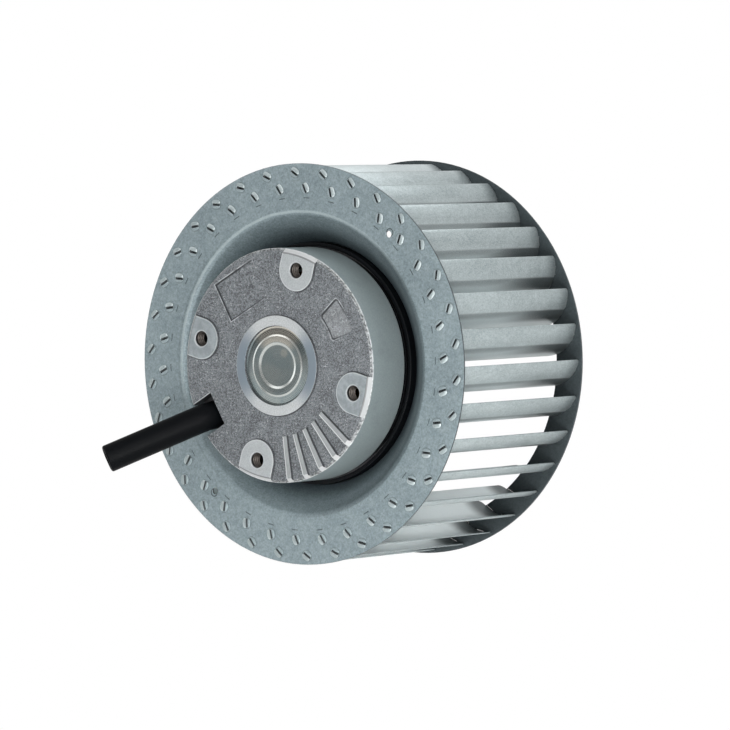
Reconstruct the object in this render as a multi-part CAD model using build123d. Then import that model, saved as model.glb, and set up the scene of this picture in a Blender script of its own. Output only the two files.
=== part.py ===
"""Forward-curved centrifugal fan wheel on an external-rotor motor.

Frame: the spin axis is Y. The mounting pads of the motor flange lie in the plane
y = 0 and face -Y, the wheel reaches back to +Y, and Z is up. The origin is the
centre of the bolt circle. Lengths are in millimetres, angles in degrees, and
angles go anticlockwise from +X as seen from the flange side. Depth means y.
"""
import os
from math import acos, asin, atan2, cos, degrees, hypot, radians, sin

from build123d import *

# Wheel
wheel_diameter = 180.0
wheel_width = 91.2
wheel_setback = 18.0
disc_sheet = 0.8
ring_overhang = 0.6
ring_width = 13.8

# Blades
blade_count = 34
blade_sheet = 0.6
blade_rim_gap = 1.0
blade_height = 15.0
blade_sweep = 9.2
blade_arc_radius = 16.0
blade_phase = 0.85
blade_inner_corner = 4.0
blade_outer_corner = 1.5

# Tabs that hold each blade in the two discs, at distances in from its outer edge
tab_insets = (9.9, 2.8)
tab_width = 4.0
tab_fold = 2.2
tab_tip_width = 2.4
slot_gap = 0.8
slot_play = 0.1

# Drawn centre of the backplate
draw_width = 13.4
draw_depth = 13.4
outer_bend = 4.0
inner_bend = 2.0
collar_length = 5.0
balance_hole_diameter = 3.1
balance_hole_inset = 13.5
balance_hole_angle = 50.4

# Rotor cup
rotor_diameter = 108.8
rotor_length = 38.7
rotor_wall = 1.6
rotor_gap = 2.2
rotor_corner = 4.0

# Shaft, hub and bearings
shaft_diameter = 12.0
shaft_lead_in = 0.8
hub_diameter = 20.0
hub_flange_diameter = 34.0
hub_flange_thickness = 3.0
hub_reach = 8.0
bearing_diameter = 32.0
bearing_width = 10.0
bearing_ring = 2.9
ball_diameter = 3.8
ball_count = 7
ball_play = 0.15
cage_sheet = 0.8
cage_edge = 1.1
front_bearing_at = 6.0
spring_height = 1.2
spring_sheet = 0.4
spring_width = 2.3
clip_thickness = 1.2
clip_height = 1.4
running_clearance = 0.4

# Motor flange casting
flange_step = 2.0
flange_depth = 25.1
face_step = 1.0
plate_thickness = 5.0
skirt_wall = 2.8
rim_chamfer = 2.0
boss_ring = 4.5
tube_wall = 4.5
bearing_shoulder = 1.5
bolt_inset = 8.4
bolt_count = 4
bolt_angle = 75.6
bolt_hole_diameter = 6.8
bolt_hole_chamfer = 0.35
pad_width = 18.6
rib_count = 5
rib_first_angle = -82.1
rib_step = 10.5
rib_length = 20.7
rib_widths = (2.1, 2.6)
rib_height = 0.8
field_depth = 0.5
field_inset = 13.4
field_angle = 121.9
field_size = (23.6, 18.4)
field_tilt = 29.7
pocket_insets = (19.8, 7.6)
pocket_angles = (21.5, 43.5)
pocket_corner = 1.5

# Cable outlet
outlet_angle = 210.6
outlet_width = 15.8
outlet_inset = 12.7
outlet_depth = 12.5
sleeve_diameter = 12.5
sleeve_wall = 1.3
sleeve_play = 0.15
sleeve_tilt = 40.7
sleeve_bend = 12.0
sleeve_start = 8.5
sleeve_straight = 45.3
cable_inset = 1.2
clamp_thickness = 4.0
clamp_margin = 3.0

# Bearing cap
cap_lap = 1.9
cap_sheet = 0.7
cap_flat_at = 1.5
cap_ridge_at = 0.3
cap_ridge_insets = (4.0, 8.0)
cap_slope = 0.9

# Stator and rotor stacks
stack_gap = 3.7
stack_length = 21.0
air_gap = 0.4
slot_count = 12
slot_mouth = 3.0
slot_width = 8.0
tooth_lip = 2.0
core_yoke = 5.5
liner = 0.4
insulator_thickness = 1.0
coil_front = 8.5
coil_rear = 7.0
coil_inner_step = 1.0
coil_outer_step = 1.9
rotor_stack_height = 7.0
bar_count = 18
bar_height = 3.2
bar_width = 2.6
bar_depth = 1.2
cage_ring_length = 2.4
cutout_size = (11.0, 5.0, 3.0)
cutout_angle = 120.0
lead_count = 3
lead_diameter = 2.6


def polar(radius, angle):
    return (radius * cos(radians(angle)), radius * sin(radians(angle)))


# Radii that follow from those sizes
wheel_radius = wheel_diameter / 2
ring_radius = wheel_radius + ring_overhang
blade_outer_radius = wheel_radius - blade_rim_gap
blade_inner_radius = blade_outer_radius - blade_height
tab_radii = [blade_outer_radius - inset for inset in tab_insets]
rotor_radius = rotor_diameter / 2
draw_radius = rotor_radius + draw_width
bearing_radius = bearing_diameter / 2
ball_pitch = (shaft_diameter + bearing_diameter) / 4
tube_radius = bearing_radius + tube_wall
cap_radius = bearing_radius + cap_lap
boss_radius = cap_radius + boss_ring
flange_radius = rotor_radius - flange_step
bolt_radius = flange_radius - bolt_inset
outlet_radius = flange_radius - outlet_inset
sleeve_radius = outlet_radius + sleeve_play + sleeve_diameter / 2
stator_radius = rotor_radius - rotor_wall - rotor_stack_height - air_gap
slot_floor = tube_radius + core_yoke
slot_top = stator_radius - tooth_lip
coil_inner_radius = slot_floor + coil_inner_step
coil_outer_radius = slot_top - coil_outer_step

# Depths that follow from those sizes
disc_back = wheel_setback + disc_sheet
wheel_back = wheel_setback + wheel_width
ring_front = wheel_back - disc_sheet
rotor_front = flange_depth + rotor_gap
rotor_back = rotor_front + rotor_length
pocket_depth = front_bearing_at - clip_thickness
pocket_end = front_bearing_at + bearing_width + spring_height
tube_end = rotor_back - hub_reach
rear_bearing_at = tube_end - bearing_width
stack_front = rotor_front + stack_gap
stack_back = stack_front + stack_length
coils_front = stack_front - insulator_thickness - coil_front


def front(depth):
    """Drawing plane at a depth: its x is X and its y is Z."""
    return Plane(origin=(0, depth, 0), x_dir=(1, 0, 0), z_dir=(0, -1, 0))


def slab(flat, near, far):
    """Solid from a front-view outline, between two depths."""
    return extrude(front(far) * flat, amount=far - near)


def turned(*corners):
    """Ring turned about the spin axis from (radius, depth) corners."""
    return revolve(make_face(Polyline(*corners, close=True)), Axis.Y)


def tube(inner, outer, near, far):
    """Plain ring between two radii and two depths."""
    return turned((inner, near), (outer, near), (outer, far), (inner, far))


def turn(shape, angle):
    """Copy turned about the spin axis, anticlockwise from the front."""
    return Rot(0, -angle, 0) * shape


def beside(points, gap):
    """Corners of the path that runs beside another one, gap to its left."""
    legs = []
    for start, end in zip(points, points[1:]):
        length = hypot(end[0] - start[0], end[1] - start[1])
        legs.append(((start[1] - end[1]) / length, (end[0] - start[0]) / length))
    shifted = []
    for index, point in enumerate(points):
        first = legs[max(index - 1, 0)]
        last = legs[min(index, len(legs) - 1)]
        share = gap / (1 + first[0] * last[0] + first[1] * last[1])
        shifted.append((point[0] + (first[0] + last[0]) * share,
                        point[1] + (first[1] + last[1]) * share))
    return shifted


def bent_sheet(points, bends, thickness):
    """Ring of bent sheet. Its shown face runs through (radius, depth) points with
    those bend radii, and the metal lies to the left of that path."""
    behind = beside(points, thickness)
    hidden_bends = []
    for bend, first, corner, last in zip(bends, points, points[1:], points[2:]):
        cross = ((corner[0] - first[0]) * (last[1] - corner[1])
                 - (corner[1] - first[1]) * (last[0] - corner[0]))
        hidden_bends.append(bend - thickness if cross > 0 else bend + thickness)
    shown = FilletPolyline(*points, radius=bends)
    hidden = FilletPolyline(*behind, radius=hidden_bends)
    ends = [Line(points[0], behind[0]), Line(points[-1], behind[-1])]
    return revolve(make_face([*shown.edges(), *hidden.edges(), *ends]), Axis.Y)


# Blade line in the front view, with its outer edge at angle 0
edge_out = Vector(blade_outer_radius, 0)
edge_in = Vector(*polar(blade_inner_radius, -blade_sweep))
chord = edge_out - edge_in
chord_angle = degrees(atan2(chord.Y, chord.X))
half_turn = degrees(asin(chord.length / 2 / blade_arc_radius))
arc_rise = blade_arc_radius * cos(radians(half_turn))
arc_centre = (edge_in + edge_out) * 0.5 + Vector(*polar(arc_rise, chord_angle + 90))


def blade_place(radius):
    """Plane on the blade line at a wheel radius: x along it, y to the convex side."""
    reach = arc_centre.length
    opening = (reach ** 2 + blade_arc_radius ** 2 - radius ** 2) / (2 * reach * blade_arc_radius)
    bearing = degrees(atan2(-arc_centre.Y, -arc_centre.X) + acos(opening))
    point = arc_centre + Vector(*polar(blade_arc_radius, bearing))
    return Location((point.X, point.Y), bearing - 90)


def sector(radius, middle, half):
    """Filled sector of a circle."""
    start, top, end = (polar(radius, middle + turn_by) for turn_by in (-half, 0, half))
    return make_face([Line((0, 0), start), ThreePointArc(start, top, end), Line(end, (0, 0))])


def blade_band():
    """Blade outline in the front view."""
    outer = sector(blade_arc_radius + blade_sheet / 2, chord_angle - 90, half_turn)
    return Pos(arc_centre.X, arc_centre.Y) * (outer - Circle(blade_arc_radius - blade_sheet / 2))


def short_edges(strip):
    """Edges across the sheet at the corners of the strip, inner ones and outer ones."""
    short = [edge for edge in strip.edges() if abs(edge.length - blade_sheet) < blade_sheet / 9]
    short.sort(key=lambda edge: hypot(edge.center().X, edge.center().Z))
    return short[:2], short[2:]


def blade_strip():
    """Curved strip of sheet, rounded at its inner corners and clipped at its outer ones."""
    strip = slab(blade_band(), disc_back, ring_front)
    strip = chamfer(short_edges(strip)[1], blade_outer_corner)
    return fillet(short_edges(strip)[0], blade_inner_corner)


def tab_outline():
    """Folded end of a tab in the front view, narrower at its tip."""
    half, tip = tab_width / 2, tab_tip_width / 2
    root = -blade_sheet / 2
    return make_face(Polyline((-half, root), (half, root), (tip, tab_fold), (-tip, tab_fold),
                              close=True))


def make_blade():
    """Curved strip with tabs that pass through both discs and are folded over."""
    blade = blade_strip()
    for radius in tab_radii:
        place = blade_place(radius)
        stem = blade_band() & (place * Rectangle(tab_width, 2 * tab_fold))
        fold = place * tab_outline()
        blade += slab(stem, wheel_setback - blade_sheet, disc_back)
        blade += slab(stem, ring_front, wheel_back + blade_sheet)
        blade += slab(fold, wheel_setback - blade_sheet, wheel_setback)
        blade += slab(fold, wheel_back, wheel_back + blade_sheet)
    return turn(blade, blade_phase)


def tab_slots(near, far):
    """Slots of every tab. Each leaves an open slit on the hollow side of its blade."""
    size = (tab_width + 2 * slot_play, blade_sheet + slot_gap + slot_play)
    shift = (slot_play - slot_gap) / 2
    cuts = []
    for radius in tab_radii:
        flat = blade_place(radius) * Pos(0, shift) * Rectangle(*size)
        slot = turn(slab(flat, near, far), blade_phase)
        cuts += [turn(slot, 360 / blade_count * index) for index in range(blade_count)]
    return cuts


def make_backplate():
    """Flat rim with the blade slots, and a drawn cone that ends in a collar on the rotor."""
    base = wheel_setback + draw_depth
    plate = bent_sheet(
        [(rotor_radius, base + collar_length), (rotor_radius, base), (draw_radius, wheel_setback),
         (wheel_radius, wheel_setback)], [inner_bend, outer_bend], disc_sheet)
    hole = slab(Pos(wheel_radius - balance_hole_inset, 0) * Circle(balance_hole_diameter / 2),
                wheel_setback - 1, disc_back + 1)
    holes = [turn(hole, balance_hole_angle), turn(hole, balance_hole_angle + 180)]
    return plate - tab_slots(wheel_setback - 1, disc_back + 1) - holes


def make_inlet_ring():
    ring = tube(ring_radius - ring_width, ring_radius, ring_front, wheel_back)
    return ring - tab_slots(ring_front - 1, wheel_back + 1)


def make_rotor_shell():
    """Deep-drawn cup, open towards the flange, with a centre hole for the hub."""
    bore = hub_diameter / 2
    inner = rotor_radius - rotor_wall
    inside = rotor_back - rotor_wall
    shown = FilletPolyline((rotor_radius, rotor_front), (rotor_radius, rotor_back),
                           (bore, rotor_back), radius=rotor_corner)
    hidden = FilletPolyline((inner, rotor_front), (inner, inside), (bore, inside),
                            radius=rotor_corner - rotor_wall)
    ends = [Line((rotor_radius, rotor_front), (inner, rotor_front)),
            Line((bore, inside), (bore, rotor_back))]
    return revolve(make_face([*shown.edges(), *hidden.edges(), *ends]), Axis.Y)


def make_rotor_hub():
    """Steel bush that joins the shaft to the cup, with a flange inside the cup."""
    inside = rotor_back - rotor_wall
    seat = inside - hub_flange_thickness
    bore, body = shaft_diameter / 2, hub_diameter / 2
    rim, tip = hub_flange_diameter / 2, shaft_diameter / 2 + bearing_ring - running_clearance
    return turned((bore, tube_end), (tip, tube_end), (tip, seat), (rim, seat), (rim, inside),
                  (body, inside), (body, rotor_back), (bore, rotor_back))


def make_shaft():
    """Ground shaft with a groove for the retaining clip at its front end."""
    radius = shaft_diameter / 2
    groove = radius - clip_height / 2
    tip = front_bearing_at - 2 * clip_thickness
    clip_front = front_bearing_at - clip_thickness
    end = rotor_back + shaft_lead_in
    return turned((0, tip), (radius - shaft_lead_in, tip), (radius, tip + shaft_lead_in),
                  (radius, clip_front), (groove, clip_front), (groove, front_bearing_at),
                  (radius, front_bearing_at), (radius, end - shaft_lead_in),
                  (radius - shaft_lead_in, end), (0, end))


def make_shaft_clip():
    """Open retaining clip that sits in the shaft groove before the inner ring."""
    groove = shaft_diameter / 2 - clip_height / 2
    ring = tube(groove, groove + 2 * clip_height, front_bearing_at - clip_thickness,
                front_bearing_at)
    mouth = slab(Pos(0, -2 * groove) * Rectangle(1.2 * groove, 4 * groove),
                 0, front_bearing_at + 1)
    return ring - mouth


def inner_ring(at):
    bore = shaft_diameter / 2
    return tube(bore, bore + bearing_ring, at, at + bearing_width)


def outer_ring(at):
    return tube(bearing_radius - bearing_ring, bearing_radius, at, at + bearing_width)


def make_ball():
    """Ball drawn with flat facets: three crossed eight-sided bars of one width."""
    bar = extrude(RegularPolygon(ball_diameter / 2, 8, major_radius=False),
                  amount=ball_diameter / 2, both=True)
    return bar & (Rot(90, 0, 0) * bar) & (Rot(0, 90, 0) * bar)


def make_ball_set(at):
    """Balls of one bearing in the pockets of their ring cage."""
    middle = at + bearing_width / 2
    half = ball_diameter / 2 + cage_edge
    cage = tube(ball_pitch - cage_sheet / 2, ball_pitch + cage_sheet / 2,
                middle - half, middle + half)
    opening = ball_diameter + 2 * ball_play
    pocket = Pos(ball_pitch, middle, 0) * Box(opening, opening, opening)
    ball = Pos(ball_pitch, middle, 0) * make_ball()
    angles = [360 / ball_count * index for index in range(ball_count)]
    cage -= [turn(pocket, angle) for angle in angles]
    return Compound([cage, *[turn(ball, angle) for angle in angles]])


def make_preload_spring():
    """Bowed washer between the front bearing and the shoulder behind it."""
    near = front_bearing_at + bearing_width
    outer = bearing_radius - running_clearance
    bow = (outer ** 2 + spring_height ** 2 - spring_sheet ** 2) / 2 / (spring_height - spring_sheet)
    sheet = extrude(Plane.YZ * Pos(near + bow, 0) * (Circle(bow) - Circle(bow - spring_sheet)),
                    amount=bearing_diameter, both=True)
    return sheet & tube(outer - spring_width, outer, near, pocket_end)


def make_flange():
    """Cast end plate: rim skirt, mounting pads, ribs and the bearing tube."""
    rim, bore = flange_radius, bearing_radius
    back = face_step + plate_thickness
    neck = bore - bearing_shoulder
    body = turned(
        (cap_radius, 0), (boss_radius, 0), (boss_radius, face_step),
        (rim - rim_chamfer + face_step, face_step), (rim, rim_chamfer), (rim, flange_depth),
        (rim - skirt_wall, flange_depth), (rim - skirt_wall, back), (tube_radius, back),
        (tube_radius, tube_end), (bore, tube_end), (bore, rear_bearing_at),
        (neck, rear_bearing_at), (neck, pocket_end), (bore, pocket_end),
        (bore, pocket_depth), (cap_radius, pocket_depth))
    angles = [bolt_angle + 360 / bolt_count * index for index in range(bolt_count)]
    body += [turn(mounting_pad(), angle) for angle in angles]
    body -= [turn(cut, angle) for angle in angles for cut in screw_hole()]
    body += [turn(face_rib(), rib_first_angle + rib_step * index) for index in range(rib_count)]
    reach = flange_radius + 2
    notch = Pos((outlet_radius + reach) / 2, 0) * Rectangle(reach - outlet_radius, outlet_width)
    return body - face_recesses() - turn(slab(notch, -1, outlet_depth), outlet_angle)


def trimmed(flat, near):
    """Raised shape on the face, cut off at the rim by the cone of the chamfer."""
    rim, back = flange_radius, face_step + plate_thickness
    envelope = turned((0, 0), (rim - rim_chamfer, 0), (rim, rim_chamfer), (rim, back), (0, back))
    return slab(flat, near, back) & envelope


def mounting_pad():
    """Raised pad with a round inner end that runs out to the rim."""
    pad = Pos(bolt_radius, 0) * Circle(pad_width / 2)
    pad += Pos(bolt_radius + pad_width / 2, 0) * Rectangle(pad_width, pad_width)
    return trimmed(pad, 0)


def face_rib():
    """Low rib, a little wider at the rim."""
    inside, outside = flange_radius - rib_length, flange_radius
    narrow, wide = (width / 2 for width in rib_widths)
    flat = make_face(Polyline((inside, -narrow), (outside, -wide), (outside, wide),
                              (inside, narrow), close=True))
    return trimmed(flat, face_step - rib_height)


def screw_hole():
    """Hole through the plate and the sunk mouth in front of it."""
    radius = bolt_hole_diameter / 2
    hole = slab(Pos(bolt_radius, 0) * Circle(radius), -1, face_step + plate_thickness + 1)
    sink = front(bolt_hole_chamfer / 2) * Pos(bolt_radius, 0) * Cone(
        radius, radius + bolt_hole_chamfer, bolt_hole_chamfer)
    return hole, sink


def face_recesses():
    """Shallow sunk fields in the cast face: an oblong one and one between two arcs."""
    middle = polar(flange_radius - field_inset, field_angle)
    field = Pos(*middle) * Rot(0, 0, field_tilt) * Rectangle(*field_size)
    inner, outer = (flange_radius - inset for inset in pocket_insets)
    low, high = pocket_angles
    corners = [polar(inner, low), polar(outer, low), polar(outer, high), polar(inner, high)]
    pocket = make_face(Polyline(*corners, close=True))
    pocket = fillet(pocket.vertices(), pocket_corner)
    floor = face_step + field_depth
    return [slab(field, -1, floor), slab(pocket, -1, floor)]


def make_cap():
    """Pressed cap over the front bearing, with a raised ring and a dished centre."""
    high, low = (cap_radius - inset for inset in cap_ridge_insets)
    points = [(0, cap_flat_at), (low - cap_slope, cap_flat_at),
              (low + cap_slope / 2, cap_ridge_at), (high - cap_slope / 2, cap_ridge_at),
              (high + cap_slope, cap_flat_at), (cap_radius, cap_flat_at),
              (cap_radius, pocket_depth)]
    return turned(*points, *reversed(beside(points, cap_sheet)))


def cable_path(straight_length):
    """Line of the cable: forward through the notch, then leaning out over the rim."""
    lean = 90 - sleeve_tilt
    start = (sleeve_radius, sleeve_start)
    middle, knee = ((sleeve_radius + sleeve_bend * (1 - cos(radians(angle))),
                     sleeve_start - sleeve_bend * sin(radians(angle)))
                    for angle in (lean / 2, lean))
    run = polar(straight_length, sleeve_tilt)
    end = (knee[0] + run[0], knee[1] - run[1])
    return Wire([ThreePointArc(start, middle, knee), Line(knee, end)])


def swept(flat, path, angle):
    """Solid swept from the cable's inner end, turned to the cable outlet."""
    start = front(sleeve_start) * Pos(sleeve_radius, 0)
    return turn(sweep(start * flat, path), angle)


def make_cable_sleeve():
    outer = sleeve_diameter / 2
    wall = Circle(outer) - Circle(outer - sleeve_wall)
    sleeve = swept(wall, cable_path(sleeve_straight), 0)
    end_circles = sleeve.edges().filter_by(GeomType.CIRCLE).group_by(Axis.Y)[0]
    rim = end_circles.sort_by(SortBy.RADIUS)[-1]
    return turn(fillet(rim, sleeve_wall * 0.8), outlet_angle)


def make_supply_cable():
    radius = sleeve_diameter / 2 - sleeve_wall
    return swept(Circle(radius), cable_path(sleeve_straight - cable_inset), outlet_angle)


def make_cable_clamp():
    """Moulded block behind the end plate that grips the sleeve on three sides."""
    outside = flange_radius - skirt_wall - clamp_margin / 2
    inside = outlet_radius - clamp_margin
    block = Pos((inside + outside) / 2, 0) * Rectangle(outside - inside, outlet_width)
    grip = Pos(sleeve_radius, 0) * Circle(sleeve_diameter / 2 + sleeve_play)
    near = face_step + plate_thickness
    return turn(slab(block - grip, near, near + clamp_thickness), outlet_angle)


def make_leads():
    """Insulated wires from the end of the cable to the front of the windings."""
    end = coil_outer_radius - lead_diameter
    half = (sleeve_start + coils_front) / 2
    path = Polyline((sleeve_radius, sleeve_start), (sleeve_radius, half), (end, half),
                    (end, coils_front))
    spread = (sleeve_diameter - 2 * sleeve_wall - lead_diameter) / 2
    leads = []
    for index in range(lead_count):
        side = spread * (2 * index / (lead_count - 1) - 1)
        profile = front(sleeve_start) * Pos(sleeve_radius, 0) * RegularPolygon(lead_diameter / 2, 6)
        lead = sweep(profile, path, transition=Transition.RIGHT)
        leads.append(turn(Pos(0, 0, side) * lead, outlet_angle))
    return Compound(leads)


def slot_flat(width, inner, outer):
    return Pos((inner + outer) / 2, 0) * Rectangle(outer - inner, width)


def around(flat, near, far, count):
    """Equal solids from one front-view outline, spaced round the axis."""
    solid = slab(flat, near, far)
    return [turn(solid, 360 / count * index) for index in range(count)]


def make_stator_core():
    """Laminated core with open slots, pressed on the bearing tube."""
    core = tube(tube_radius, stator_radius, stack_front, stack_back)
    wide = slot_flat(slot_width, slot_floor, slot_top)
    mouth = slot_flat(slot_mouth, slot_top - 1, stator_radius + 1)
    return core - around(wide + mouth, stack_front - 1, stack_back + 1, slot_count)


def make_insulator(near):
    """Moulded end piece that keeps the wires off the core."""
    ring = tube(tube_radius, slot_top, near, near + insulator_thickness)
    wide = slot_flat(slot_width, slot_floor, slot_top + 1)
    return ring - around(wide, near - 1, near + insulator_thickness + 1, slot_count)


def make_windings():
    """Coils: the sides in the slots and the bundles at both ends."""
    near = stack_front - insulator_thickness
    far = stack_back + insulator_thickness
    coils = tube(coil_inner_radius, coil_outer_radius, coils_front, near)
    coils += tube(coil_inner_radius, coil_outer_radius, far, far + coil_rear)
    side = slot_flat(slot_width - 2 * liner, slot_floor + liner, slot_top - liner)
    return coils + around(side, near, far, slot_count)


def make_thermal_cutout():
    """Small switch that rests on the front of the windings."""
    long, wide, high = cutout_size
    middle = (coil_inner_radius + coil_outer_radius) / 2
    flat = Pos(middle, 0) * Rectangle(wide, long)
    return turn(slab(flat, coils_front - high, coils_front), cutout_angle)


def bar_flat():
    inner = stator_radius + air_gap + bar_depth
    return slot_flat(bar_width, inner, inner + bar_height)


def make_rotor_core():
    """Ring of laminations inside the cup, with holes for the cage bars."""
    ring = tube(stator_radius + air_gap, rotor_radius - rotor_wall, stack_front, stack_back)
    return ring - around(bar_flat(), stack_front - 1, stack_back + 1, bar_count)


def make_rotor_cage():
    """Cast bars and the two end rings that join them."""
    inner = stator_radius + air_gap + bar_depth / 2
    outer = inner + bar_height + bar_depth
    cage = tube(inner, outer, stack_front - cage_ring_length, stack_front)
    cage += tube(inner, outer, stack_back, stack_back + cage_ring_length)
    return cage + around(bar_flat(), stack_front, stack_back, bar_count)


nodes = {
    "stator_flange": make_flange(),
    "bearing_cap": make_cap(),
    "cable_sleeve": make_cable_sleeve(),
    "supply_cable": make_supply_cable(),
    "cable_clamp": make_cable_clamp(),
    "motor_leads": make_leads(),
    "stator_core": make_stator_core(),
    "stator_windings": make_windings(),
    "front_insulator": make_insulator(stack_front - insulator_thickness),
    "rear_insulator": make_insulator(stack_back),
    "thermal_cutout": make_thermal_cutout(),
    "front_bearing_outer_ring": outer_ring(front_bearing_at),
    "rear_bearing_outer_ring": outer_ring(rear_bearing_at),
    "preload_spring": make_preload_spring(),
    "front_ball_set": make_ball_set(front_bearing_at),
    "rear_ball_set": make_ball_set(rear_bearing_at),
    "front_bearing_inner_ring": inner_ring(front_bearing_at),
    "rear_bearing_inner_ring": inner_ring(rear_bearing_at),
    "motor_shaft": make_shaft(),
    "shaft_clip": make_shaft_clip(),
    "rotor_hub": make_rotor_hub(),
    "rotor_shell": make_rotor_shell(),
    "rotor_core": make_rotor_core(),
    "rotor_cage": make_rotor_cage(),
    "backplate": make_backplate(),
    "inlet_ring": make_inlet_ring(),
}
first_blade = make_blade()
for number in range(blade_count):
    nodes[f"blade_{number + 1:02d}"] = turn(first_blade, 360 / blade_count * number)

os.makedirs("parts", exist_ok=True)
for name, shape in nodes.items():
    export_step(shape, f"parts/{name}.step")
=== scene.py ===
"""Forward-curved centrifugal fan wheel on an external-rotor motor, as a product picture.

The spin axis is Y, the motor flange faces -Y, Z is up, and lengths are in metres.
"""

from functools import reduce
from math import acos, asin, atan2, copysign, cos, pi, radians, sin, sqrt
from types import SimpleNamespace

import bmesh
import bpy
from mathutils import Matrix, Vector


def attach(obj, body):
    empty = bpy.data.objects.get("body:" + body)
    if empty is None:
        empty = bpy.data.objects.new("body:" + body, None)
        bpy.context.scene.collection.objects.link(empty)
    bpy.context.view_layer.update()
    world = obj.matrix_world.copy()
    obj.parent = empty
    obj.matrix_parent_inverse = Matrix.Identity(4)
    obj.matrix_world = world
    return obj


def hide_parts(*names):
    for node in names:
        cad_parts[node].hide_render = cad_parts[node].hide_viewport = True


MM = 0.001


def mm(*sizes):
    """Sizes in metres, from millimetres."""
    return tuple(size * MM for size in sizes)


# Wheel and blades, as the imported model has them
BLADE_COUNT = 34
BLADE_PHASE = 0.85
BLADE_SHEET = 0.6 * MM
BLADE_INNER = 74 * MM
BLADE_OUTER = 89 * MM
BLADE_SWEEP = 9.2
BLADE_ARC = 16 * MM
INNER_CORNER = 4 * MM
OUTER_CORNER = 1.5 * MM
TAB_RADII = mm(79.1, 86.2)
DISC_FRONT = 18 * MM
DISC_BACK = 18.8 * MM
RING_FRONT = 108.4 * MM
RING_BACK = 109.2 * MM
WHEEL_MIDDLE = 60 * MM

# Pressed tabs and lips: reach, half length and height of their domes
TAB_DOME = mm(1.85, 2.4, 0.56)
LIP_DOME = mm(1.35, 2.3, 0.46)
DOME_FULLNESS = 0.72
DOME_SINK = 0.05 * MM
TAB_SHIFT = 0.34 * MM
FRONT_LIP_GAP = 0.75 * MM
REAR_LIP_GAP = 0.1 * MM
NECK_HALF = 1.97 * MM
SLOT_FLOOR_SPAN = mm(-0.28, -1.12)
SHARP_ANGLE = radians(42)

# Marks on the discs, their half sizes across and along
LUG_SHIFT = 0.4 * MM
LUG_HALF = mm(2.15, 2.45)
LUG_SIZE = 2.2 * MM
SLIT_MIDDLE = 0.52 * MM
SLIT_HALF = mm(0.56, 1.95)
MARK_ANGLE = BLADE_PHASE - 8.6
MARK_RADIUS = 74.6 * MM
BALANCE_RADIUS = 77.5 * MM
BALANCE_ANGLE = 50.4
BALANCE_HOLE = 1.55 * MM
BEND_RADII = mm(67.9, 69.1)

# Motor flange
BOLT_RADIUS = 44 * MM
BOLT_ANGLE = 75.6
HOLE_RADIUS = 3.4 * MM
PAD_HALF_WIDTH = 9.3 * MM
FLANGE_RADIUS = 52.4 * MM
RIB_MIDDLE_ANGLE = -61.1
RIB_STEP = 10.5
RIB_HALF = mm(1.05, 1.3)
RIB_START = 31.4 * MM
RIBS_HALF_ANGLE = 26.3
FAR_FROM_RIBS = 9 * MM
FIELD_MIDDLE = mm(-20.61, 33.11)
FIELD_TILT = radians(29.7)
FIELD_HALF = mm(11.8, 9.2)
POCKET_RADII = mm(32.6, 44.8)
POCKET_ANGLES = (21.5, 43.5)
POCKET_CORNER = 1.5 * MM
BOSS_RADIUS = 22.4 * MM
NOTCH_ANGLE = radians(210.6)
NOTCH_RADIUS = 39.7 * MM
NOTCH_HALF = 7.9 * MM
BEVEL_LINE = 50.32 * MM

# Cap as (radius, depth) in millimetres, with the radii of its corners
CAP_LINE = ((0, 1.0), (9.2, 1.05), (10.4, 0.62), (13.15, 0.58), (13.95, 0.86), (16.9, 1.2),
            (17.8, 1.0), (17.8, 4.7))
CAP_CORNERS = (0.35, 0.3, 0.3, 0.45, 0.8, 0.25)
CAP_SHEET = 0.5 * MM
CORNER_STEPS = 5
CAP_STEPS = 160

# Screw threads, in millimetres
THREAD_TURNS = 4
THREAD_STEPS = 32
THREAD_PITCH = 1.25
THREAD_START = 1.45

# Tones used more than once, as linear red, green and blue
# The first three tones paint shade and shadow: in slots and holes, round lugs and at the feet of
# raised forms
SHADE_BLACK = (0.008, 0.01, 0.011)
SHADOW_GREY = (0.08, 0.1, 0.105)
CAST_SHADOW = (0.024, 0.026, 0.029)
CAST_PALE = (0.5, 0.52, 0.53)
BLADE_LIT = (0.8, 0.87, 0.88)

EDGE_WIDTH = 0.4 * MM
ZINC_RELIEF = 0.035 * MM

# Name, dark and light tone, grain, metal, roughness and CAD solids of each plain finish
PLAIN_FINISHES = (
    ("turned_steel", (0.34, 0.34, 0.35), (0.55, 0.55, 0.55), 900, 1.0, 0.24,
     ("motor_shaft", "rotor_hub")),
    ("ground_steel", (0.48, 0.48, 0.49), (0.66, 0.66, 0.66), 1200, 1.0, 0.14,
     ("front_bearing_outer_ring", "rear_bearing_outer_ring", "front_bearing_inner_ring",
      "rear_bearing_inner_ring", "front_ball_set", "rear_ball_set")),
    ("spring_steel", (0.13, 0.13, 0.14), (0.25, 0.24, 0.24), 800, 1.0, 0.32,
     ("preload_spring", "shaft_clip")),
    ("natural_plastic", (0.62, 0.6, 0.52), (0.74, 0.72, 0.64), 300, 0.0, 0.42,
     ("front_insulator", "rear_insulator")),
    ("black_plastic", (0.012, 0.012, 0.013), (0.025, 0.025, 0.027), 700, 0.0, 0.45,
     ("cable_clamp", "thermal_cutout")),
    ("wire_insulation", (0.3, 0.025, 0.02), (0.42, 0.04, 0.03), 200, 0.0, 0.35,
     ("motor_leads",)))

# The photograph's camera: degrees to the side, up and tilted, focal length and size in pixels
CAMERA_ANGLES = (36.672, 2.697, 0.0537)
CAMERA_FOCUS = 5379.97
PHOTO_WIDTH = 730
FILM_WIDTH = 36

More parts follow.
